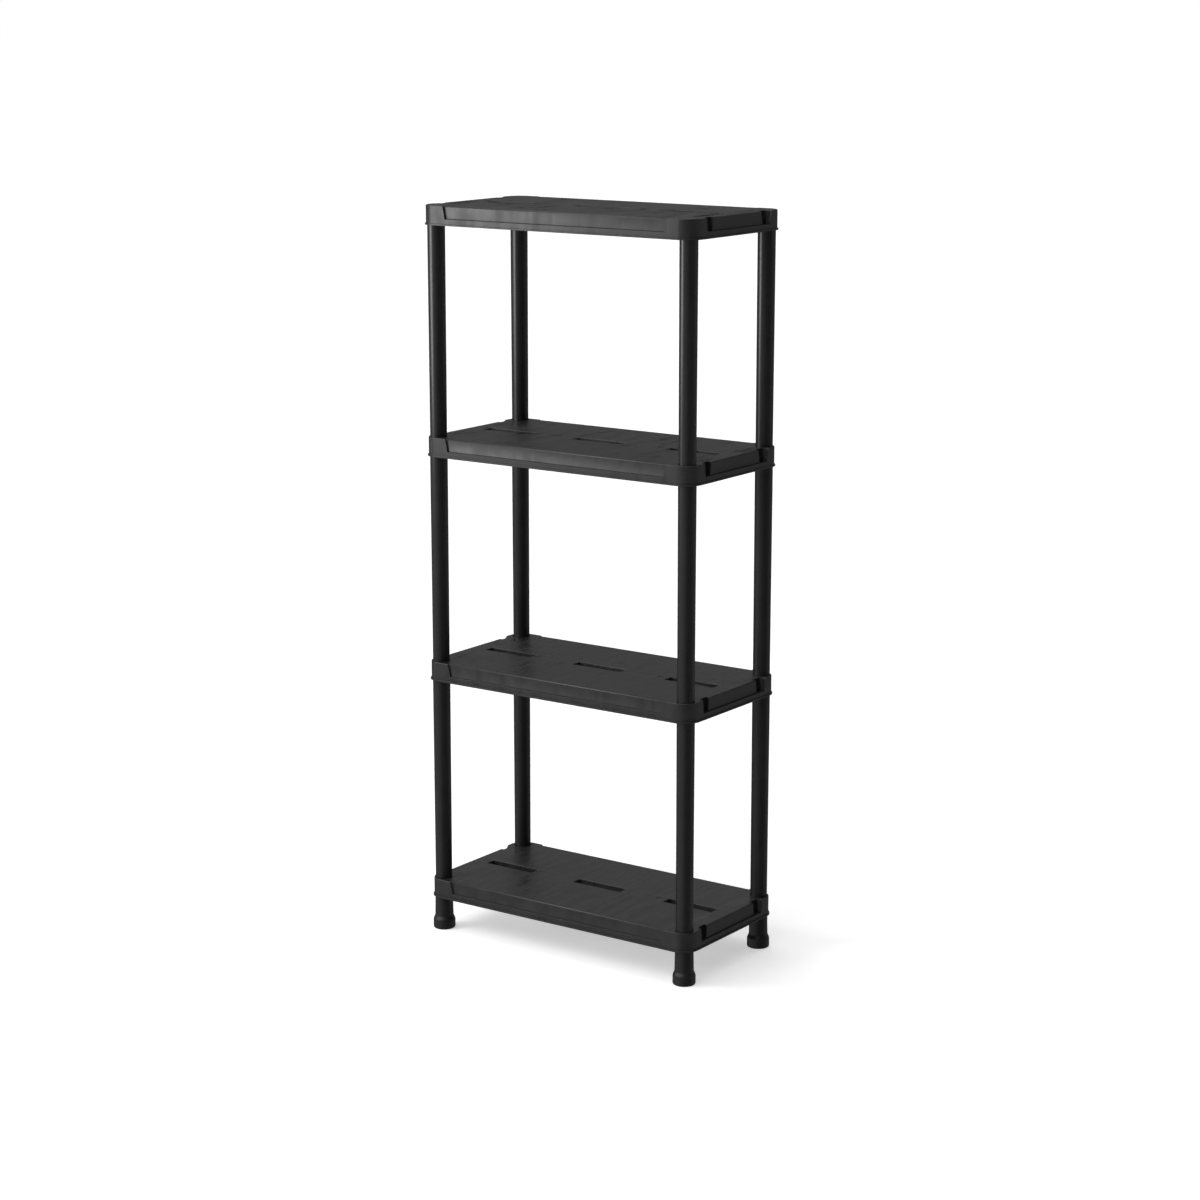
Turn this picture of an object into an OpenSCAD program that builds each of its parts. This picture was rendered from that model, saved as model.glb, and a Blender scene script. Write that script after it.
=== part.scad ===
// Push-fit shelving unit, injection moulded: shelves with sockets at their corners, tube posts
// between them, feet below and caps on top. The front faces -Y, the width runs along X, the floor is z = 0.

/* [Unit] */
// Width of the unit over the lips of its shelves
unit_w = 600; // [560:10:900]
// Depth of the unit over the lips of its shelves
unit_d = 300; // [240:10:450]
// Height of the bottom shelf's lower edge above the floor
foot_h = 65; // [45:1:120]
// Height from one shelf to the next
tier_pitch = 426; // [250:1:600]
// Distance of each post's axis from the two nearest lips
post_inset = 24; // [23:0.5:30]

/* [Shelf] */
// Height of a shelf from its lower edge to its deck
shelf_h = 36; // [32:1:60]
// Radius of the lip in plan at the corners
corner_r = 32.5; // [26:0.5:33]
// Thickness of the deck
deck_t = 2.6; // [2:0.1:4]
// Thickness of the outer walls
wall_t = 2.4; // [1.8:0.1:3]
// How far the lip along the lower edge stands out of the band
lip_out = 2; // [0.5:0.1:2.2]
// Height of that lip
lip_h = 3; // [1:0.1:4]
// Height of the plain band that runs round the lower part of the shelf
band_h = 12; // [8:0.5:16]
// How far the fascia above the band is set back from the band
fascia_in = 4; // [2:0.1:6]
// Radius of the deck's edge above the fascia
deck_edge_r = 2.5; // [0.5:0.5:4]
// Radius of the edge round the top of the corner blocks
block_edge_r = 1.2; // [0.4:0.1:1.6]
// Length of each corner block along the front and back, at the deck
block_w = 56; // [50:1:80]
// Length of each corner block along the ends, at the deck
block_d = 44; // [43:1:56]
// How much longer a corner block is at the band than at the deck
block_slant = 5; // [0:0.5:7]

/* [Ribs and slots] */
// Thickness of the ribs under the deck
rib_t = 1.8; // [1.2:0.1:3]
// Height of the ribs' lower edges above the shelf's lower edge
rib_z = 7; // [3:0.5:12]
// Distance between the cross ribs
rib_pitch = 49; // [35:1:80]
// Length of each slot through the deck
deck_slot_w = 107; // [60:1:120]
// Width of each slot through the deck
deck_slot_d = 22; // [8:0.5:24]
// Distance between the middles of neighbouring deck slots
deck_slot_pitch = 206; // [150:1:210]
// Diameter of the shallow round gate marks between the deck slots
gate_mark_d = 17; // [8:0.5:18]
// Distance from a mark to the end of the outer slot beside it
gate_mark_gap = 5; // [2:0.5:12]
// Depth of those marks
gate_mark_depth = 0.6; // [0.2:0.1:1]
// Width at the deck of each notch in the ends of the shelf
end_notch_w = 20; // [12:0.5:24]
// How much narrower a notch is at the band than at the deck
end_notch_taper = 6.5; // [0:0.5:8]
// Distance from a notch to the corner block beside it, at the deck
end_notch_gap = 8; // [6:0.5:16]
// How far a notch reaches into the deck from the fascia
end_notch_depth = 7; // [4:0.5:12]

/* [Sockets] */
// Wall of the boss round each pair of sockets
boss_t = 2.4; // [1.8:0.1:3]
// Depth of the upper socket, which takes a post's lower end or a cap
upper_socket_depth = 20; // [14:0.5:24]
// Thickness of the web between the upper and the lower socket
web_t = 3; // [2:0.5:5]
// Radius of the hole through that web
web_hole_r = 10; // [4:0.5:12]
// Radial clearance between a socket and what is pushed into it
socket_clear = 0.15; // [0.1:0.05:0.3]
// Chamfer at the mouth of each socket
mouth_chamfer = 0.8; // [0.3:0.1:1]

/* [Posts, feet and caps] */
// Radius of a post's lower end
post_r_low = 15.7; // [13:0.1:15.9]
// How much wider a post's upper end is than its lower end, on the radius
post_flare = 0.7; // [0:0.1:0.8]
// Wall of a post at its lower end
post_t = 2.1; // [1.6:0.1:4]
// Chamfer round both ends of a post
post_chamfer = 0.8; // [0.2:0.1:1]
// How much wider a foot's neck is than its spigot, on the radius, where it meets the shelf
foot_neck_step = 0.5; // [0.4:0.1:1.5]
// How much wider the neck is above the flare than at the shelf, on the radius
foot_neck_taper = 0.7; // [0:0.1:1.5]
// Radius of a foot's pad
foot_pad_r = 21; // [20:0.5:23]
// Height of the pad below the flare
foot_pad_h = 16; // [8:0.5:20]
// Height of the flare between the pad and the neck
foot_flare_h = 11; // [4:0.5:20]
// Radius of the pad's bottom edge
foot_edge_r = 3; // [1:0.5:5]
// Wall of a foot
foot_t = 2.5; // [2:0.1:4]
// Height of a cap's crown above the deck
cap_crown = 1; // [0.5:0.1:3]
// Wall of a cap
cap_t = 1.6; // [1.2:0.1:3]

/* [Hidden] */
$fn = 96;
// Extra reach of a cut past the face that it opens
reach = 0.5;
// Rings in the curve of a foot's flare
flare_rings = 8;

shelf_names = ["bottom_shelf", "second_shelf", "third_shelf", "top_shelf"];
tier_names = ["lower", "middle", "upper"];
corner_names = ["front_left", "front_right", "back_left", "back_right"];
// Signs of x and y at each corner, in the order of corner_names
corner_signs = [[-1, -1], [1, -1], [-1, 1], [1, 1]];

function post_name(tier, corner) = str(tier_names[tier], "_post_", corner_names[corner]);
function foot_name(corner) = str("foot_", corner_names[corner]);
function cap_name(corner) = str("cap_", corner_names[corner]);

// Height of a shelf's lower edge, counted from the bottom shelf
function level(shelf) = foot_h + shelf * tier_pitch;

post_x = unit_w / 2 - post_inset;
post_y = unit_d / 2 - post_inset;
post_r_top = post_r_low + post_flare;
upper_socket_r = post_r_low + socket_clear;
lower_socket_r = post_r_top + socket_clear;
boss_r = lower_socket_r + boss_t;
// A shelf's web lies between these two heights, and every post, foot and cap is pushed home against it
web_top = shelf_h - upper_socket_depth;
web_low = web_top - web_t;
post_l = tier_pitch - web_top + web_low;

// Distances inwards from the lip to the band's outer and inner face, and to the fascia's
band_at = lip_out;
band_inner_at = band_at + wall_t;
fascia_at = band_at + fascia_in;
fascia_inner_at = fascia_at + wall_t;
deck_under = shelf_h - deck_t;

fascia_half_w = unit_w / 2 - block_w;
fascia_half_d = unit_d / 2 - block_d;
end_notch_y = fascia_half_d - end_notch_gap - end_notch_w / 2;
gate_mark_x = deck_slot_pitch - deck_slot_w / 2 - gate_mark_gap - gate_mark_d / 2;
middle_rib_y = (deck_slot_d + rib_t) / 2;
cross_ribs = floor((post_x - boss_r) / rib_pitch);

// Draws its children, made for the corner at +X and +Y, at all four corners
module at_corners() {
    for (s = corner_signs) {
        mirror([s[0] < 0 ? 1 : 0, 0, 0]) mirror([0, s[1] < 0 ? 1 : 0, 0]) children();
    }
}

// The shelf's outline in plan, an even distance inside the lip
module outline(inset) {
    r = corner_r - inset;
    square([unit_w - 2 * inset, unit_d - 2 * corner_r], center = true);
    square([unit_w - 2 * corner_r, unit_d - 2 * inset], center = true);
    for (s = corner_signs) {
        translate([s[0] * (unit_w / 2 - corner_r), s[1] * (unit_d / 2 - corner_r)]) circle(r = r);
    }
}

// A plate of that outline between two heights
module plate(inset, low, high) {
    translate([0, 0, low]) linear_extrude(high - low) outline(inset);
}

// What a round edge of radius r leaves of the square corner whose tip is at (out, up)
module edge_waste(out, up, r) {
    translate([out - r, up - r]) difference() {
        square(r + reach);
        circle(r = r);
    }
}

// The waste of the round edge that runs round the top of the corner blocks
module block_edge_waste() {
    x = unit_w / 2 - corner_r;
    y = unit_d / 2 - corner_r;
    at_corners() {
        translate([x, y, 0]) rotate_extrude(angle = 90)
            edge_waste(corner_r - band_at, shelf_h, block_edge_r);
        rotate([90, 0, 90]) linear_extrude(x)
            edge_waste(unit_d / 2 - band_at, shelf_h, block_edge_r);
        translate([0, y, 0]) rotate([90, 0, 0]) linear_extrude(y)
            edge_waste(unit_w / 2 - band_at, shelf_h, block_edge_r);
    }
}

// What is cut from a side that faces +Y: the set-back face and the round edge over it, between slanted ends
module fascia_waste(half_length, side) {
    face = side - fascia_at;
    intersection() {
        translate([-half_length, 0, 0]) rotate([90, 0, 90]) linear_extrude(2 * half_length) {
            translate([face, band_h]) square([fascia_in + reach, shelf_h + reach - band_h]);
            edge_waste(face, shelf_h, deck_edge_r);
        }
        translate([0, side, 0]) rotate([90, 0, 0]) linear_extrude(fascia_at + deck_edge_r) polygon([
            [-half_length + block_slant, band_h],
            [half_length - block_slant, band_h],
            [half_length, shelf_h],
            [half_length, shelf_h + reach],
            [-half_length, shelf_h + reach],
            [-half_length, shelf_h]
        ]);
    }
}

// A tapered notch at the +Y end of the end that faces +X. With a wall, it is the pocket that closes it.
module end_notch(wall = 0) {
    top = end_notch_w / 2 + wall;
    low = top - end_notch_taper / 2;
    translate([unit_w / 2 - fascia_at - end_notch_depth - wall, end_notch_y, 0]) rotate([90, 0, 90])
        linear_extrude(end_notch_depth + wall + reach) polygon([
            [-low, band_h - wall],
            [low, band_h - wall],
            [top, shelf_h],
            [top, shelf_h + reach],
            [-top, shelf_h + reach],
            [-top, shelf_h]
        ]);
}

// The hollow under the deck, which follows the outer walls and runs out into the corner blocks
module hollow() {
    plate(band_inner_at, -reach, band_h - wall_t);
    plate(fascia_inner_at, -reach, deck_under);
    intersection() {
        plate(band_inner_at, -reach, deck_under);
        at_corners() translate([fascia_half_w + wall_t, fascia_half_d + wall_t, 0])
            cube([block_w, block_d, shelf_h]);
    }
}

// The ribs under the deck: two that flank the slots, the cross ribs, and the walls at the slots' ends
module ribs() {
    half_gap = deck_slot_d / 2;
    for (side = [-1, 1]) {
        translate([-unit_w / 2, side * middle_rib_y - rib_t / 2, rib_z])
            cube([unit_w, rib_t, shelf_h - rib_z]);
        for (i = [-cross_ribs:cross_ribs]) {
            translate([i * rib_pitch - rib_t / 2, side > 0 ? half_gap : -unit_d / 2, rib_z])
                cube([rib_t, unit_d / 2 - half_gap, shelf_h - rib_z]);
        }
        for (slot = [-1:1]) {
            end_x = slot * deck_slot_pitch + side * (deck_slot_w + rib_t) / 2;
            translate([end_x - rib_t / 2, -half_gap, rib_z]) cube([rib_t, deck_slot_d, shelf_h - rib_z]);
        }
    }
}

// The boss that holds both sockets of a corner, with a rib to each outer wall
module boss() {
    translate([post_x, post_y, 0]) {
        cylinder(r = boss_r, h = shelf_h);
        translate([0, -rib_t / 2, rib_z]) cube([post_inset, rib_t, shelf_h - rib_z]);
        translate([-rib_t / 2, 0, rib_z]) cube([rib_t, post_inset, shelf_h - rib_z]);
    }
}

// The two sockets of a corner, the hole through the web between them and the chamfers at their mouths
module sockets() {
    chamfer_h = mouth_chamfer + reach;
    translate([post_x, post_y, 0]) {
        translate([0, 0, web_top]) cylinder(r = upper_socket_r, h = upper_socket_depth + reach);
        translate([0, 0, shelf_h - mouth_chamfer])
            cylinder(r1 = upper_socket_r, r2 = upper_socket_r + chamfer_h, h = chamfer_h);
        translate([0, 0, -reach]) cylinder(r = lower_socket_r, h = web_low + reach);
        translate([0, 0, -reach])
            cylinder(r1 = lower_socket_r + chamfer_h, r2 = lower_socket_r, h = chamfer_h);
        translate([0, 0, web_low - reach]) cylinder(r = web_hole_r, h = web_t + 2 * reach);
    }
}

// One shelf. All four are the same moulding.
module shelf(number) {
    color("#2e2e30") translate([0, 0, level(number)]) difference() {
        union() {
            plate(band_at, 0, shelf_h);
            plate(0, 0, lip_h);
        }
        block_edge_waste();
        for (turn = [0, 180]) {
            rotate([0, 0, turn]) fascia_waste(fascia_half_w, unit_d / 2);
            rotate([0, 0, turn + 90]) fascia_waste(fascia_half_d, unit_w / 2);
        }
        difference() {
            hollow();
            ribs();
            at_corners() {
                boss();
                end_notch(wall_t);
            }
        }
        at_corners() {
            sockets();
            end_notch();
        }
        for (slot = [-1:1]) {
            translate([slot * deck_slot_pitch - deck_slot_w / 2, -deck_slot_d / 2, deck_under - reach])
                cube([deck_slot_w, deck_slot_d, deck_t + 2 * reach]);
        }
        for (side = [-1, 1]) {
            translate([side * gate_mark_x, 0, shelf_h - gate_mark_depth])
                cylinder(d = gate_mark_d, h = gate_mark_depth + reach);
        }
    }
}

// Puts a round piece, drawn on the Z axis, on a corner's axis at a height
module on_axis(corner, z) {
    translate([corner_signs[corner][0] * post_x, corner_signs[corner][1] * post_y, z]) children();
}

// One tube post, straight in its two sockets and tapered between them
module post(tier, corner) {
    bore_r = post_r_low - post_t;
    color("#29292b") on_axis(corner, level(tier) + web_top) rotate_extrude() polygon([
        [bore_r, 0],
        [post_r_low - post_chamfer, 0],
        [post_r_low, post_chamfer],
        [post_r_low, upper_socket_depth],
        [post_r_top, post_l - web_low],
        [post_r_top, post_l - post_chamfer],
        [post_r_top - post_chamfer, post_l],
        [bore_r, post_l]
    ]);
}

// One foot: a spigot for the socket above, a hollow neck, and a pad that flares out to the floor
module foot(corner) {
    top = foot_h + web_low;
    neck_r = post_r_top + foot_neck_step;
    neck_low_r = neck_r + foot_neck_taper;
    flare = [
        for (i = [0:flare_rings])
        [neck_low_r + (foot_pad_r - neck_low_r) * (1 + cos(180 * i / flare_rings)) / 2,
         foot_pad_h + foot_flare_h * i / flare_rings]
    ];
    color("#242425") on_axis(corner, 0) rotate_extrude() difference() {
        union() {
            polygon(concat(
                [[0, foot_edge_r], [foot_pad_r, foot_edge_r]],
                flare,
                [[neck_r, foot_h], [post_r_top, foot_h], [post_r_top, top - post_chamfer],
                 [post_r_top - post_chamfer, top], [0, top]]
            ));
            square([foot_pad_r - foot_edge_r, 2 * foot_edge_r]);
            intersection() {
                translate([foot_pad_r - foot_edge_r, foot_edge_r]) circle(r = foot_edge_r);
                square([foot_pad_r, 2 * foot_edge_r]);
            }
        }
        translate([0, foot_t]) square([post_r_top - foot_t, top]);
    }
}

// One cap: a cup pushed into an upper socket of the top shelf, with a low crown that stands above the deck
module cap(corner) {
    crown_r = (post_r_low * post_r_low + cap_crown * cap_crown) / (2 * cap_crown);
    color("#303032") on_axis(corner, level(3)) rotate_extrude() difference() {
        intersection() {
            translate([0, web_top]) square([post_r_low, upper_socket_depth + cap_crown]);
            translate([0, shelf_h + cap_crown - crown_r]) circle(r = crown_r, $fn = 720);
        }
        translate([0, web_top - reach]) square([post_r_low - cap_t, upper_socket_depth - cap_t + reach]);
    }
}

for (i = [0:3]) shelf(i);
for (t = [0:2], c = [0:3]) post(t, c);
for (c = [0:3]) foot(c);
for (c = [0:3]) cap(c);
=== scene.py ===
# %% [markdown]
# # A push-fit shelving unit in black plastic
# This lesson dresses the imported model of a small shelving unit: four moulded shelves, twelve tube posts,
# four feet and four caps. The model already holds every place and size. What is added here is what makes
# it look made: the small radii of a mould, the grain and the sink marks of thick plastic, and a set with
# soft light. The model is loaded first, so that everything after it can be measured from it.

import math

import bmesh
import bpy
from mathutils import Euler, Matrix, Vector


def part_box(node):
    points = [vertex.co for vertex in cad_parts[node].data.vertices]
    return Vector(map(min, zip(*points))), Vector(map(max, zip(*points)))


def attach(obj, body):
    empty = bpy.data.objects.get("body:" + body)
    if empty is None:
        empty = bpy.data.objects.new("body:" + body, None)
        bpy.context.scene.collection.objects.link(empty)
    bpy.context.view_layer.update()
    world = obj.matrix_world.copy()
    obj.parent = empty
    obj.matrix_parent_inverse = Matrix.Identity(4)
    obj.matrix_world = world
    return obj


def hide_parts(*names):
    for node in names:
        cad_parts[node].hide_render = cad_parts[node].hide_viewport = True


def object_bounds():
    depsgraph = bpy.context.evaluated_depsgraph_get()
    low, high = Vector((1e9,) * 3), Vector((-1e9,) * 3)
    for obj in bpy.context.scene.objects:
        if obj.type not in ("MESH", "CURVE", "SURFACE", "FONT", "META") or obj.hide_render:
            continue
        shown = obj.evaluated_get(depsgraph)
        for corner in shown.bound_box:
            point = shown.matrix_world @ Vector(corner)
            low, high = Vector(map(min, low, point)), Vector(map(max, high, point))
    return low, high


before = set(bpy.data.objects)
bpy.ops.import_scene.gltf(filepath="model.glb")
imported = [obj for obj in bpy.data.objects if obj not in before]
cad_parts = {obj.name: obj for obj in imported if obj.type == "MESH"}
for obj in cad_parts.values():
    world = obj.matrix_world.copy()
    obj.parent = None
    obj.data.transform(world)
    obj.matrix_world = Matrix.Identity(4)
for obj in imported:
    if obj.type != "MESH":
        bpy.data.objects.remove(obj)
cad_low, cad_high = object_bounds()
size = cad_high - cad_low
print(f"{len(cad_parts)} nodes, {size.x:.3f} x {size.y:.3f} x {size.z:.3f} m")

# %% [markdown]
# ## The camera
# A tall unit is looked at from the right of its front and from a little above the top deck, so that the
# light on the fronts, the dark ends and all four decks are seen together. A long lens keeps the posts
# nearly parallel. Turn and tilt are angles, so the camera is a place, two angles and a lens, and it has
# no shift: other views can then move it without cutting the unit off.

# %% Place the camera
camera_place = Vector((2.943, -4.171, 1.761))
camera_turn = math.radians(35.2)
camera_tilt = math.radians(-12.23)
camera_lens = 84.49
camera_sees_to = 200

camera = bpy.data.cameras.new("camera")
camera.lens = camera_lens
camera.clip_end = camera_sees_to
camera_object = bpy.data.objects.new("camera", camera)
camera_object.location = camera_place
camera_object.rotation_euler = Euler((math.pi / 2 + camera_tilt, 0, camera_turn))
bpy.context.scene.collection.objects.link(camera_object)
bpy.context.scene.camera = camera_object
bpy.context.scene.view_settings.view_transform = "Standard"
print(f"camera {(camera_place - (cad_low + cad_high) / 2).length:.2f} m from the middle of the unit")

# %% [markdown]
# ## Nodes as sums
# A finish is a small calculation made at every point of a surface. Wiring it by hand takes a line for
# each node and another for each link, and the sum itself is lost among them. So a socket is wrapped in a
# small class that knows how to add, subtract, multiply and divide, and each such sign adds one Math node.


# %% Wrap sockets
class Wire:
    """A socket that values can be worked out from."""

    def __init__(self, finish, socket):
        self.finish = finish
        self.socket = socket

    def maths(self, operation, *values):
        return self.finish.add("ShaderNodeMath", {"operation": operation}, dict(enumerate(values)))

    def __add__(self, other):
        return self.maths("ADD", self, other)

    def __radd__(self, other):
        return self.maths("ADD", other, self)

    def __sub__(self, other):
        return self.maths("SUBTRACT", self, other)

    def __rsub__(self, other):
        return self.maths("SUBTRACT", other, self)

    def __mul__(self, other):
        return self.maths("MULTIPLY", self, other)

    def __rmul__(self, other):
        return self.maths("MULTIPLY", other, self)

    def __truediv__(self, other):
        return self.maths("DIVIDE", self, other)

    def __rtruediv__(self, other):
        return self.maths("DIVIDE", other, self)

    def __abs__(self):
        return self.maths("ABSOLUTE", self)


print("sockets can be added, subtracted, multiplied and divided")

# %% [markdown]
# ## A finish
# Every other kind of node comes from one method, which takes its settings first and then its sockets. A
# few short methods name what the finishes share: a smooth step, noise, a blend of two colours and the
# plastic shader itself. They are written once here, so that each finish below reads as a list of what
# is on its surface. The world is dressed in the same way, so a finish can hold a world too.

# %% Make finishes
plastic_ior = 1.49


class Finish:
    """A material, or the world, whose nodes are added one by one."""

    def __init__(self, holder, slot=None):
        self.slot = slot
        self.holder = holder
        self.holder.use_nodes = True
        self.tree = self.holder.node_tree
        self.tree.nodes.clear()

    def add(self, kind, settings=None, sockets=None, output=0):
        node = self.tree.nodes.new(kind)
        for name, value in (settings or {}).items():
            setattr(node, name, value)
        for name, value in (sockets or {}).items():
            if isinstance(value, Wire):
                self.tree.links.new(value.socket, node.inputs[name])
            else:
                node.inputs[name].default_value = value
        return Wire(self, node.outputs[output])

    def add_output(self, shader):
        kind = "World" if isinstance(self.holder, bpy.types.World) else "Material"
        node = self.tree.nodes.new("ShaderNodeOutput" + kind)
        self.tree.links.new(shader.socket, node.inputs["Surface"])

    def split(self, vector):
        """The three numbers of a vector."""
        node = self.add("ShaderNodeSeparateXYZ", {}, {0: vector}).socket.node
        return [Wire(self, output) for output in node.outputs]

    def fade(self, value, start, end, low=0.0, high=1.0):
        """A smooth step from low at start to high at end."""
        limits = {"From Min": start, "From Max": end, "To Min": low, "To Max": high}
        settings = {"interpolation_type": "SMOOTHSTEP"}
        return self.add("ShaderNodeMapRange", settings, {"Value": value, **limits})

    def clouds(self, place, scale, stretch=(1, 1, 1), turn=0.0, detail=3.0):
        """Noise between 0 and 1, drawn out along an axis where its stretch is small."""
        mapping = {"Vector": place, "Rotation": (0, 0, turn), "Scale": stretch}
        settled = self.add("ShaderNodeMapping", {}, mapping)
        return self.add("ShaderNodeTexNoise", {}, {"Vector": settled, "Scale": scale, "Detail": detail})

    def tint(self, amount, dark, light):
        """A colour between two colours, each of them given or worked out."""
        dark, light = (color if isinstance(color, Wire) else (*color, 1) for color in (dark, light))
        mixed = {0: amount, 6: dark, 7: light}
        return self.add("ShaderNodeMix", {"data_type": "RGBA"}, mixed, output=2)

    def coat(self, color, roughness, height, depth):
        """Ends the tree: colour, roughness and a height of so many metres go to one plastic shader."""
        relief = self.add("ShaderNodeBump", {}, {"Height": height, "Distance": depth, "Strength": 1.0})
        sockets = {"Base Color": color, "Roughness": roughness, "Normal": relief, "IOR": plastic_ior}
        self.add_output(self.add("ShaderNodeBsdfPrincipled", {}, sockets))


print(f"plastics bend light by {plastic_ior}")

# %% [markdown]
# ## The way about a shelf
# A shelf's marks sit over its ribs, on its deck or on its fronts. A flat pattern wrapped round the shelf
# would stretch at its corners, so each mark is worked out from the place on the object instead. For that
# the finish needs to know how far a point is from the middle and how high it is in its own shelf. All
# four shelves are alike, so the height is wrapped at their pitch, and one finish serves them all. How a
# face is turned tells the deck from the fronts.

# %% Find the way about a shelf
bottom_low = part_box("bottom_shelf")[0].z
shelf_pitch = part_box("second_shelf")[0].z - bottom_low
facing_from, facing_fully = 0.8, 0.95

shelf_finish = Finish(bpy.data.materials.new("shelf_black"), "shelf_plastic")
place = shelf_finish.add("ShaderNodeTexCoord", output="Object")
along, across, up = shelf_finish.split(place)
from_middle, from_axis = abs(along), abs(across)
in_shelf = up.maths("WRAP", up, bottom_low + shelf_pitch, bottom_low) - bottom_low

facing = shelf_finish.add("ShaderNodeNewGeometry", output="Normal")
face_y, face_z = shelf_finish.split(facing)[1:]
on_deck = shelf_finish.fade(face_z, facing_from, facing_fully)
on_front = shelf_finish.fade(abs(face_y), facing_from, facing_fully)
print(f"lowest shelf at {bottom_low:.3f} m, the others {shelf_pitch:.3f} m apart")

# %% [markdown]
# ## Sinks over the ribs
# Plastic shrinks as it cools, and most where it is thick. Over every rib the deck and the fasciae are
# drawn in a little, and these shallow sinks are how a ribbed moulding is recognised. Modelling them
# would need a very fine mesh for a tenth of a millimetre, so they are a height in the finish. The cross
# ribs stand at an even pitch from the middle, and two long ribs flank the slots.

# %% Make the sinks
rib_pitch = 0.049
slot_rib_y = 0.0119
sink_reach = 0.006

to_rib = abs(along.maths("WRAP", along, rib_pitch / 2, -rib_pitch / 2))
to_slot_rib = abs(from_axis - slot_rib_y)
rib_sink = shelf_finish.fade(to_rib, 0.0, sink_reach, 1.0, 0.0)
slot_rib_sink = shelf_finish.fade(to_slot_rib, 0.0, sink_reach / 2, 1.0, 0.0) * on_deck
sinks = rib_sink * (0.35 * on_front + 0.5 * on_deck) + slot_rib_sink
print(f"sinks every {rib_pitch * 1000:.0f} mm and {slot_rib_y * 1000:.1f} mm either side of the slots")

# %% [markdown]
# ## Streaks, mottle and grain
# The melt runs through the mould in streaks, and each front leaves the surface a little duller or
# glossier. On the decks the streaks run from front to back, and on the fasciae they stand as upright
# bands. Noise drawn out along one axis gives both. Plain noise adds a soft mottle, and very fine noise is
# the grain of the tool. Beside the notches, where a shelf fills last, lie glossier dished patches, which
# are ellipses.

# %% Make the streaks, the mottle, the grain and the patches
streaks = shelf_finish.clouds(place, 1.0, (60, 9, 60), turn=0.12, detail=4.0) - 0.5
bands = shelf_finish.clouds(place, 1.0, (50, 50, 4), detail=2.0) - 0.5
mottle = shelf_finish.clouds(place, 38.0) - 0.5
grain = shelf_finish.clouds(place, 1400.0, detail=1.0)
flow = streaks * on_deck + 0.6 * bands * on_front

patch_middle_x, patch_middle_y = 0.268, 0.064
patch_reach_x, patch_reach_y = 0.021, 0.034
patch_x = (from_middle - patch_middle_x) / patch_reach_x
patch_y = (from_axis - patch_middle_y) / patch_reach_y
patch = shelf_finish.fade(patch_x * patch_x + patch_y * patch_y, 0.35, 1.0, 1.0, 0.0) * on_deck
print(f"patches {2000 * patch_reach_x:.0f} x {2000 * patch_reach_y:.0f} mm")

# %% [markdown]
# ## Painted shade in pockets and creases
# Two places on a shelf look almost black. The notches in the ends are deep pockets, and the corner where a
# fascia meets the ledge of its band is a tight crease, and both lie in shade. That shade is painted: the
# colour is taken down to near black there, because the shape alone would leave them grey, and their
# roughness is raised a little. A pocket is a box of places near a notch, whose sides fade over half
# a millimetre: each pair below says where a fade begins and ends. A crease is a flat ellipse round its
# corner, and it stops where the corner blocks begin.

# %% Make the painted shade in the pockets and the creases
band_height = 0.012
fascia_x, fascia_y = 0.294, 0.144
fascia_half_w, fascia_half_d = 0.243, 0.105
crease_out, crease_rise = 0.0034, 0.0012
crease_stop = (0.0, 0.0008)
notch_y = 0.088
pocket_back = (0.2862, 0.2868)
pocket_mouth = (0.2935, 0.2939)
pocket_side = (0.0099, 0.0103)

behind_mouth = shelf_finish.fade(from_middle, *pocket_mouth, 1.0, 0.0)
between_sides = shelf_finish.fade(abs(from_axis - notch_y), *pocket_side, 1.0, 0.0)
pocket_shade = shelf_finish.fade(from_middle, *pocket_back) * behind_mouth * between_sides


def crease(from_fascia, to_block):
    """Painted shade in the inner corner where a fascia meets the ledge of its band, between the corner
    blocks.
    """
    out = from_fascia / crease_out
    rise = (in_shelf - band_height) / crease_rise
    corner = shelf_finish.fade(out * out + rise * rise, 0.5, 1.0, 1.0, 0.0)
    return corner * shelf_finish.fade(to_block, *crease_stop)


front_crease_shade = crease(from_axis - fascia_y, fascia_half_w - from_middle)
end_crease_shade = crease(from_middle - fascia_x, fascia_half_d - from_axis)
# painted shade: the pockets and the creases are taken towards black in the colour below
painted_shade = shelf_finish.fade(pocket_shade + 0.7 * (front_crease_shade + end_crease_shade), 0.0, 1.0)
print(f"creases reach {crease_out * 1000:.1f} mm out and {crease_rise * 1000:.1f} mm up")

# %% [markdown]
# ## The shelf's plastic
# A shelf is one moulding in black polypropylene. Its colour is nearly even, and what the eye reads is
# how rough and how flat its surface is. So most marks above go mostly into the height and the
# roughness, and only a little into the colour, but the painted shade of the pockets and the creases
# takes the colour down to near black. The rounded edges carry a mark of their own, called edge, and are
# painted a touch paler there, a painted highlight; the sinks along the slots are painted a little paler
# too, a painted sheen.

# %% Make the shelf's plastic
relief_depth = 0.00016
shelf_dark, shelf_pale = (0.0135, 0.0135, 0.0138), (0.0285, 0.0285, 0.029)
# the near-black that the painted shade of the pockets and the creases takes
painted_shade_black = (0.001, 0.001, 0.001)

# the rounded strips of the edges, painted a touch paler below as a painted highlight
edge = shelf_finish.add("ShaderNodeAttribute", {"attribute_name": "edge"}, output="Fac")
height = 0.03 * grain - sinks + 1.2 * flow + 0.6 * mottle - 0.8 * patch
smoother = 0.02 * on_deck + 0.04 * sinks + 0.1 * patch
rougher = 0.6 * flow + 0.25 * mottle + 0.35 * painted_shade
# the slot-rib sinks are painted a little paler, a painted sheen, and the edge term is the painted
# highlight
paler = 0.4 + 1.5 * flow + 0.9 * mottle + 0.3 * slot_rib_sink + 0.1 * edge
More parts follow.
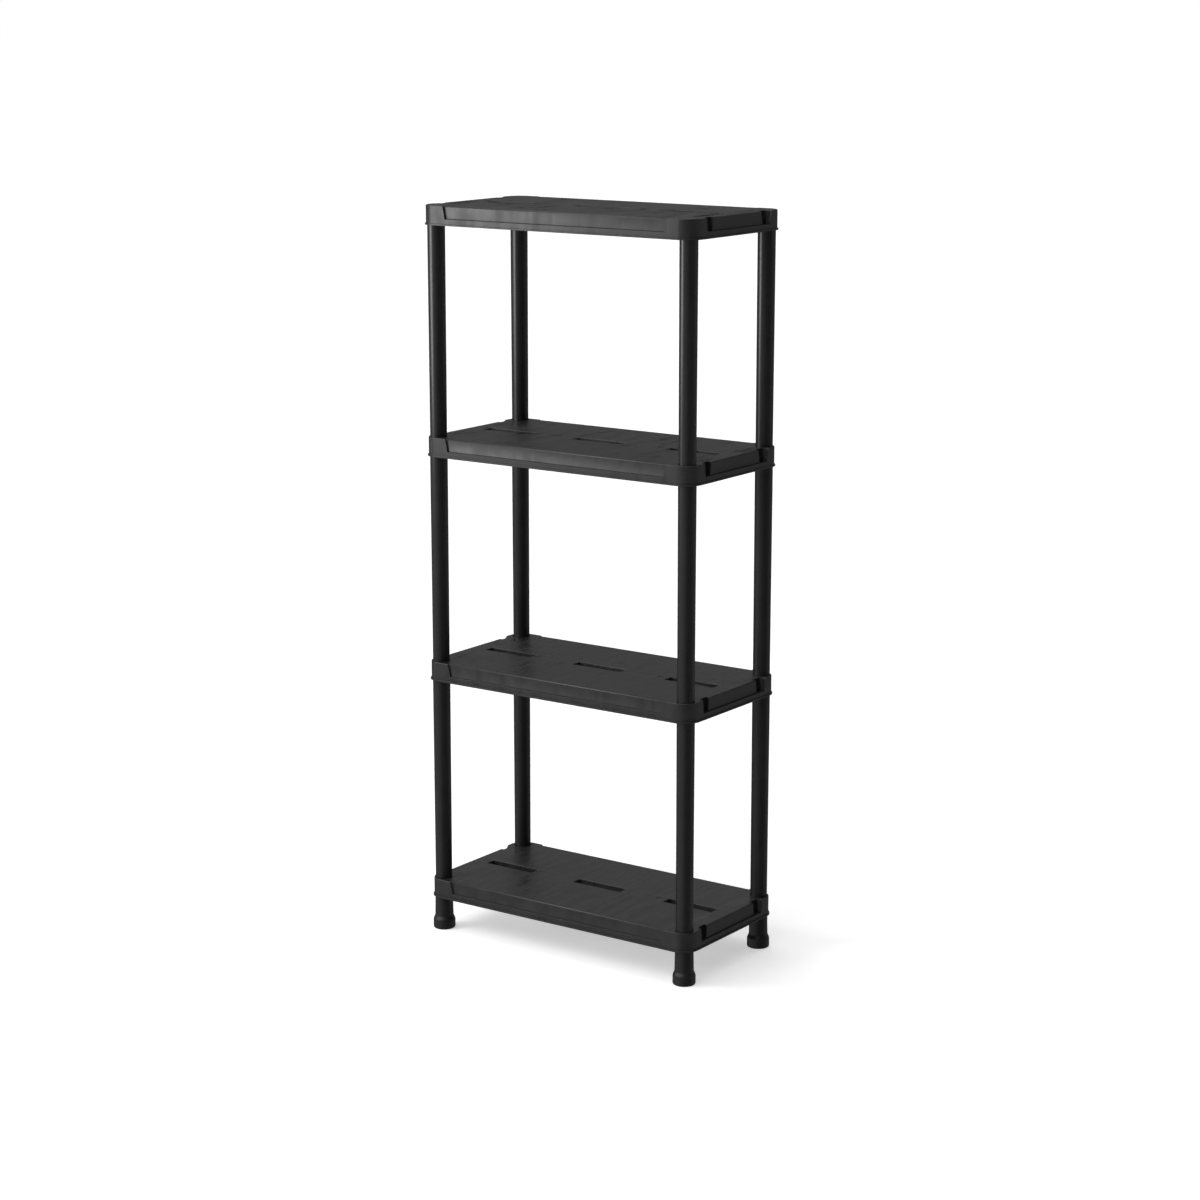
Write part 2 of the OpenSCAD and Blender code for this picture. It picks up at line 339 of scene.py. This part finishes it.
# the pockets and the creases are painted near black over the plastic's own tone, a painted shade
shade = shelf_finish.tint(painted_shade, shelf_finish.tint(paler, shelf_dark, shelf_pale), painted_shade_black)
shelf_finish.coat(shade, 0.41 + rougher - smoother, height, relief_depth)
print(f"shelf plastic: {len(shelf_finish.tree.nodes)} nodes")

# %% [markdown]
# ## A finished piece
# Every piece ends in the same way: its mesh becomes an object at the origin with its finish, it rides on
# the unit's one body, and it stands for its node of the model, which is hidden. Smooth shading hides the
# facets of the curves, edges sharper than a limit stay crisp, and normals weighted by area keep the flat
# faces flat right up to their small radii.

# %% Finish a piece
crisp = math.radians(50)


def finish_piece(form, node, name, finish):
    mesh = bpy.data.meshes.new(name)
    form.to_mesh(mesh)
    form.free()
    mesh.shade_smooth()
    mesh.set_sharp_from_angle(angle=crisp)
    mesh.materials.append(finish.holder)
    piece = bpy.data.objects.new(name, mesh)
    bpy.context.scene.collection.objects.link(piece)
    weighted = piece.modifiers.new("flat_faces", "WEIGHTED_NORMAL")
    weighted.keep_sharp = True
    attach(piece, "root")
    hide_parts(node)
    print(f"{name}: {len(mesh.polygons)} faces")


print(f"edges stay crisp beyond {math.degrees(crisp):.0f} degrees")

# %% [markdown]
# ## The shelves
# A shelf is a thin-walled box, open below, with fasciae set back between four corner blocks, slots,
# notches, ribs and sockets. All of that is already true in the model, so it isn't drawn again: a copy of
# the node is merged from loose triangles into one skin, and its flat faces are joined. The rims of the
# slots are then rounded by a millimetre, because things are slid over them, and every outer edge that
# is still sharp by a third of that, as the mould's own edges are. Drawing a new box would only risk a
# shelf that no longer fits its posts. The small rounded strips get the mark that the finish looks for.
# Where strips meet, a few points end up a thousandth of a millimetre apart, so a last weld joins them
# and the skin stays closed.

# %% Mould the shelves
weld = 1e-6
sliver = 5e-6
edge_radius = 0.00035
slot_half_d = 0.011
slot_rim_radius = 0.001
flat_within = math.radians(0.5)
sharp_beyond = math.radians(35)


def is_sharp(edge):
    return edge.is_manifold and edge.is_convex and edge.calc_face_angle() > sharp_beyond


def is_slot_rim(edge, deck):
    return all(
        abs(vertex.co.z - deck) < weld and abs(abs(vertex.co.y) - slot_half_d) < 10 * weld
        for vertex in edge.verts
    )


def round_edges(form, edges, radius, segments):
    return bmesh.ops.bevel(
        form,
        geom=edges,
        offset=radius,
        affect="EDGES",
        segments=segments,
        profile=0.5,
        material=-1,
        clamp_overlap=False,
    )["faces"]


def mould_shelf(node):
    form = bmesh.new()
    form.from_mesh(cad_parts[node].data)
    bmesh.ops.remove_doubles(form, verts=form.verts, dist=weld)
    bmesh.ops.dissolve_limit(form, angle_limit=flat_within, verts=form.verts, edges=form.edges)
    # the rounded strips are marked so that the finish can paint a highlight on them
    edge_highlight = form.faces.layers.float.new("edge")
    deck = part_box(node)[1].z
    slot_rims = [edge for edge in form.edges if is_slot_rim(edge, deck)]
    round_edges(form, slot_rims, slot_rim_radius, segments=4)
    sharp_edges = [edge for edge in form.edges if is_sharp(edge)]
    for face in round_edges(form, sharp_edges, edge_radius, segments=2):
        face[edge_highlight] = 1.0
    bmesh.ops.remove_doubles(form, verts=form.verts, dist=sliver)
    finish_piece(form, node, node + "_moulding", shelf_finish)


for node in [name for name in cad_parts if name.endswith("_shelf")]:
    mould_shelf(node)

# %% [markdown]
# ## The posts' plastic
# The posts are tubes with a softer sheen than the shelves. Drawing them off their mould leaves faint
# lines along their length, and the two halves of the mould leave a parting line down each side. The
# lines follow the tube, so they are noise that is drawn out along its height, and the parting lines are
# narrow ridges where the surface faces straight to the left or the right.

# %% Make the posts' plastic
smooth_relief_depth = 0.00005
parting_reach = 0.03

post_finish = Finish(bpy.data.materials.new("post_black"), "post_plastic")
place = post_finish.add("ShaderNodeTexCoord", output="Object")
draw_lines = post_finish.clouds(place, 1.0, (420, 420, 3), detail=2.0)
mottle = post_finish.clouds(place, 30.0)
grain = post_finish.clouds(place, 1200.0, detail=1.0)
facing = post_finish.add("ShaderNodeNewGeometry", output="Normal")
parting = post_finish.fade(abs(post_finish.split(facing)[1]), 0.0, parting_reach, 1.0, 0.0)

height = 0.35 * draw_lines + 0.5 * mottle + 0.1 * grain + 0.8 * parting
roughness = 0.3 + 0.08 * (draw_lines - 0.5) + 0.08 * (mottle - 0.5)
shade = post_finish.tint(mottle, (0.010, 0.010, 0.0105), (0.016, 0.016, 0.0165))
post_finish.coat(shade, roughness, height, smooth_relief_depth)
print(f"post plastic: {len(post_finish.tree.nodes)} nodes")

# %% [markdown]
# ## Turned pieces
# Posts, feet and caps are all round, so each is an outline of a few points, given as a radius and a
# height, that is spun once round an upright axis. The spin is moved to the axis of the node it stands
# for. Its rims are bevelled after the spin, which rounds the whole circle in one step.

# %% Spin an outline
spin_steps = 96
rim_segments = 4


def turn(outline, node, rims):
    """Spins an outline round the node's axis, from its lowest point up, and rounds some of its rims."""
    form = bmesh.new()
    points = [form.verts.new((radius, 0, height)) for radius, height in outline]
    lines = [form.edges.new(pair) for pair in zip(points, points[1:] + points[:1])]
    if outline[0][0] == 0:
        form.edges.remove(lines.pop())
    bmesh.ops.spin(
        form,
        geom=points + lines,
        axis=(0, 0, 1),
        angle=math.tau,
        steps=spin_steps,
        use_merge=True,
    )
    bmesh.ops.remove_doubles(form, verts=form.verts, dist=weld)
    bmesh.ops.recalc_face_normals(form, faces=form.faces)
    for height, radius, offset in rims:
        bmesh.ops.bevel(
            form,
            geom=[edge for edge in form.edges if is_rim(edge, height, radius)],
            offset=offset,
            affect="EDGES",
            segments=rim_segments,
            profile=0.5,
            material=-1,
        )
    low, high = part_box(node)
    axis = (low + high) / 2
    bmesh.ops.translate(form, verts=form.verts, vec=(axis.x, axis.y, low.z))
    return form


def is_rim(edge, height, radius):
    return all(
        abs(vertex.co.z - height) < weld and abs(vertex.co.xy.length - radius) < 10 * weld
        for vertex in edge.verts
    )


print(f"outlines are spun in {spin_steps} steps")

# %% [markdown]
# ## The posts
# A post is a tube with parallel ends for the sockets and a slight taper between them, wider at the top,
# so that it leaves its mould. Both rims are rounded, or they would scrape the sockets. A plain cylinder
# would miss the taper and the bore, and both show when the unit is taken apart.

# %% Turn the posts
post_low_radius = 0.0157
post_top_radius = 0.0164
post_bore_radius = 0.0136
post_rim = 0.0008
upper_socket_depth = 0.020
lower_socket_depth = 0.013


def turn_post(node):
    low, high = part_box(node)
    length = high.z - low.z
    outline = [
        (post_bore_radius, 0),
        (post_low_radius, 0),
        (post_low_radius, upper_socket_depth),
        (post_top_radius, length - lower_socket_depth),
        (post_top_radius, length),
        (post_bore_radius, length),
    ]
    rims = [(0, post_low_radius, post_rim), (length, post_top_radius, post_rim)]
    finish_piece(turn(outline, node, rims), node, node + "_tube", post_finish)


for node in [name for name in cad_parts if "_post_" in name]:
    turn_post(node)

# %% [markdown]
# ## The feet's plastic
# A foot is a short turned form from a polished mould, so it has a mottle and hardly any grain. Low down
# it is scuffed where it is pushed along the floor. The scuffs run round the foot, so they are noise that
# is squeezed in height, and only its peaks are kept.

# %% Make the feet's plastic
scuffs_full_below, scuffs_end = 0.004, 0.02

foot_finish = Finish(bpy.data.materials.new("foot_black"), "foot_plastic")
place = foot_finish.add("ShaderNodeTexCoord", output="Object")
mottle = foot_finish.clouds(place, 60.0)
grain = foot_finish.clouds(place, 1400.0, detail=1.0)
scratches = foot_finish.clouds(place, 1.0, (90, 90, 1600), detail=2.0)
low_down = foot_finish.fade(foot_finish.split(place)[2], scuffs_full_below, scuffs_end, 1.0, 0.0)
scuffs = foot_finish.fade(scratches, 0.52, 0.66) * low_down

height = 0.5 * mottle + 0.1 * grain - 0.5 * scuffs
roughness = 0.36 + 0.1 * (mottle - 0.5) + 0.2 * scuffs
shade = foot_finish.tint(0.4 * mottle + 0.6 * scuffs, (0.009, 0.009, 0.0094), (0.022, 0.022, 0.0225))
foot_finish.coat(shade, roughness, height, smooth_relief_depth)
print(f"foot plastic: {len(foot_finish.tree.nodes)} nodes")

# %% [markdown]
# ## The feet
# A foot carries the whole load on a small pad, so it flares out to the floor, and its spigot fills the
# bottom shelf's lower socket. The flare is half a wave of a cosine, which leaves the neck and meets the
# pad without a corner, where a cone would show two. A shallow recess under the pad leaves a ring to
# stand on, which rocks less than a flat disc.

# %% Turn the feet
pad_radius = 0.021
pad_height = 0.016
pad_edge = 0.003
flare_height = 0.011
flare_steps = 10
neck_radius = 0.0169
neck_low_radius = 0.0176
neck_rim = 0.0004
foot_bore_radius = 0.0139
foot_floor = 0.0025
tread_radius = 0.014
tread_depth = 0.0006


def flare_point(step):
    spread = (pad_radius - neck_low_radius) * (1 + math.cos(math.pi * step / flare_steps)) / 2
    return neck_low_radius + spread, pad_height + flare_height * step / flare_steps


def turn_foot(node):
    low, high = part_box(node)
    length = high.z - low.z
    neck_top = length - lower_socket_depth
    outline = [
        (0, tread_depth),
        (tread_radius, tread_depth),
        (tread_radius, 0),
        (pad_radius, 0),
        *[flare_point(step) for step in range(flare_steps + 1)],
        (neck_radius, neck_top),
        (post_top_radius, neck_top),
        (post_top_radius, length),
        (foot_bore_radius, length),
        (foot_bore_radius, foot_floor),
        (0, foot_floor),
    ]
    rims = [
        (0, pad_radius, pad_edge),
        (neck_top, neck_radius, neck_rim),
        (length, post_top_radius, post_rim),
    ]
    finish_piece(turn(outline, node, rims), node, node + "_cup", foot_finish)


for node in [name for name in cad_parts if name.startswith("foot_")]:
    turn_foot(node)

# %% [markdown]
# ## The caps
# A cap closes a socket of the top shelf. It is a thin cup pushed in from above, and only its crown is
# seen: a dome of one millimetre, with a pip-sized dimple in the middle where the plastic came in. The
# dome is an arc of a large circle, found from its height and its width.

# %% Turn the caps
cap_crown = 0.001
cap_wall = 0.0016
cap_rim = 0.0003
cap_relief_depth = 0.00006
dimple_radius = 0.0018
dimple_floor_radius = 0.6 * dimple_radius
dimple_depth = 0.0003
crown_steps = 10
dome_radius = (post_low_radius**2 + cap_crown**2) / (2 * cap_crown)

cap_finish = Finish(bpy.data.materials.new("cap_black"), "cap_plastic")
place = cap_finish.add("ShaderNodeTexCoord", output="Object")
mottle = cap_finish.clouds(place, 60.0)
grain = cap_finish.clouds(place, 1400.0, detail=1.0)
shade = cap_finish.tint(mottle, (0.014, 0.014, 0.0145), (0.022, 0.022, 0.0225))
cap_finish.coat(shade, 0.36 + 0.08 * (mottle - 0.5), 0.5 * mottle + 0.1 * grain, cap_relief_depth)


def crown_point(step, top):
    radius = post_low_radius + (dimple_radius - post_low_radius) * step / crown_steps
    return radius, top - dome_radius + math.sqrt(dome_radius**2 - radius**2)


def turn_cap(node):
    low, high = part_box(node)
    length = high.z - low.z
    skirt_radius = post_low_radius - cap_wall
    ceiling = length - cap_crown - cap_wall
    crown = [crown_point(step, length) for step in range(crown_steps + 1)]
    outline = [
        (0, ceiling),
        (skirt_radius, ceiling),
        (skirt_radius, 0),
        (post_low_radius, 0),
        *crown,
        (dimple_floor_radius, length - dimple_depth),
        (0, length - dimple_depth),
    ]
    rims = [(crown[0][1], crown[0][0], cap_rim)]
    finish_piece(turn(outline, node, rims), node, node + "_cup", cap_finish)


for node in [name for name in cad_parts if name.startswith("cap_")]:
    turn_cap(node)

# %% [markdown]
# ## The set
# The unit stands on a plain pale floor that runs out to a pale wall all round, so that there is no line
# of a horizon behind it from any side. The floor glows a little by itself, which keeps the shadow on it
# faint. Black plastic shows the room it stands in more than its own colour, and a white room would turn
# it grey. So the floor and the wall are kept out of the reflections, and what the plastic reflects is a
# dim room with one large soft lamp.


# %% Lay the floor and the wall
def plain_material(name, grey, glow):
    """A flat pale finish, lit from itself where glow is above zero."""
    finish = Finish(bpy.data.materials.new(name))
    sockets = {
        "Base Color": (grey, grey, grey, 1),
        "Roughness": 0.9,
        "Emission Color": (1, 1, 1, 1),
        "Emission Strength": glow,
    }
    finish.add_output(finish.add("ShaderNodeBsdfPrincipled", {}, sockets))
    return finish.holder


def lay_stage(name, form, material):
    mesh = bpy.data.meshes.new(name)
    form.to_mesh(mesh)
    form.free()
    mesh.materials.append(material)
    stage = bpy.data.objects.new(name, mesh)
    stage.visible_glossy = False
    bpy.context.scene.collection.objects.link(stage)
    return stage


room_radius = 30
room_sides = 128
floor_gap = 0.0002
floor_form = bmesh.new()
bmesh.ops.create_circle(floor_form, cap_ends=True, segments=room_sides, radius=room_radius)
bmesh.ops.translate(floor_form, verts=floor_form.verts, vec=(0, 0, -floor_gap))
lay_stage("floor", floor_form, plain_material("floor_pale", 0.9, 0.5))

wall_form = bmesh.new()
bmesh.ops.create_cone(
    wall_form,
    segments=room_sides,
    radius1=room_radius,
    radius2=room_radius,
    depth=2 * room_radius,
)
wall = lay_stage("wall", wall_form, plain_material("wall_pale", 0, 1.0))
wall.visible_diffuse = False
wall.visible_shadow = False
print(f"floor and wall {2 * room_radius} m across")

# %% [markdown]
# ## The lamps
# One large soft lamp hangs at the left of the front, level with the top of the unit. It is close, so its
# reflection is bright on the top fascia and fades to the right and down, shelf by shelf, and it draws
# one bright stripe down the left of every post. A small lamp would make that stripe thin and harsh. A
# very wide sun from high up lights the floor evenly and gives the unit its faint, soft shadow. The
# lamp's strength is given by how bright its face looks, and its power is worked out from that.

# %% Hang the lamps
lamp_place = Vector((-1.08, -1.13, 1.3))
lamp_target = Vector((-0.1, -0.15, 1.2))
lamp_width, lamp_height = 0.6, 0.9
lamp_radiance = 6.5
sun_strength = 2.0
sun_spread = math.radians(100)
sun_turn = Euler((math.radians(25), math.radians(-20), 0))

lamp = bpy.data.lights.new("key_lamp", "AREA")
lamp.shape = "RECTANGLE"
lamp.size = lamp_width
lamp.size_y = lamp_height
lamp.energy = lamp_radiance * math.pi * lamp_width * lamp_height
lamp_object = bpy.data.objects.new("key_lamp", lamp)
lamp_object.location = lamp_place
lamp_object.rotation_euler = (lamp_target - lamp_place).to_track_quat("-Z", "Y").to_euler()
bpy.context.scene.collection.objects.link(lamp_object)

sun = bpy.data.lights.new("sky_sun", "SUN")
sun.energy = sun_strength
sun.angle = sun_spread
sun_object = bpy.data.objects.new("sky_sun", sun)
sun_object.rotation_euler = sun_turn
bpy.context.scene.collection.objects.link(sun_object)
print(f"key lamp of {lamp.energy:.1f} W, sun of {sun.energy:.1f} W/m2")

# %% [markdown]
# ## The room
# What isn't lamp is a dim room, and the glossy black shows it. The glow from the front left is what the
# lower fasciae and the posts reflect, the glow from high up behind is what the decks reflect, and the
# one from the back right lifts the ends off black. More lamps could do this too, but each would show in
# the gloss as a shape with edges, and a glow has none.

# %% Light the room
room = Finish(bpy.data.worlds.new("room"))
bpy.context.scene.world = room.holder
room_everywhere = 0.02
outwards = room.add("ShaderNodeTexCoord", output="Generated")


def glow_towards(direction, edge_cosine, strength):
    """Light that is brightest from one direction and fades smoothly to nothing around it."""
    aim = Vector(direction).normalized()
    sockets = {0: outwards, 1: aim}
    toward = room.add("ShaderNodeVectorMath", {"operation": "DOT_PRODUCT"}, sockets, output="Value")
    return room.fade(toward, edge_cosine, 1.0, 0.0, strength)


front_glow = glow_towards((-0.6, -0.8, -0.1), 0.2, 0.36)
deck_glow = glow_towards((-0.45, 0.65, 0.8), 0.8, 0.57)
end_glow = glow_towards((0.57, 0.82, -0.1), 0.5, 0.17)
light = room_everywhere + front_glow + deck_glow + end_glow
room.add_output(room.add("ShaderNodeBackground", {}, {"Color": (1, 1, 1, 1), "Strength": light}))
print(f"room light: {len(room.tree.nodes)} nodes")
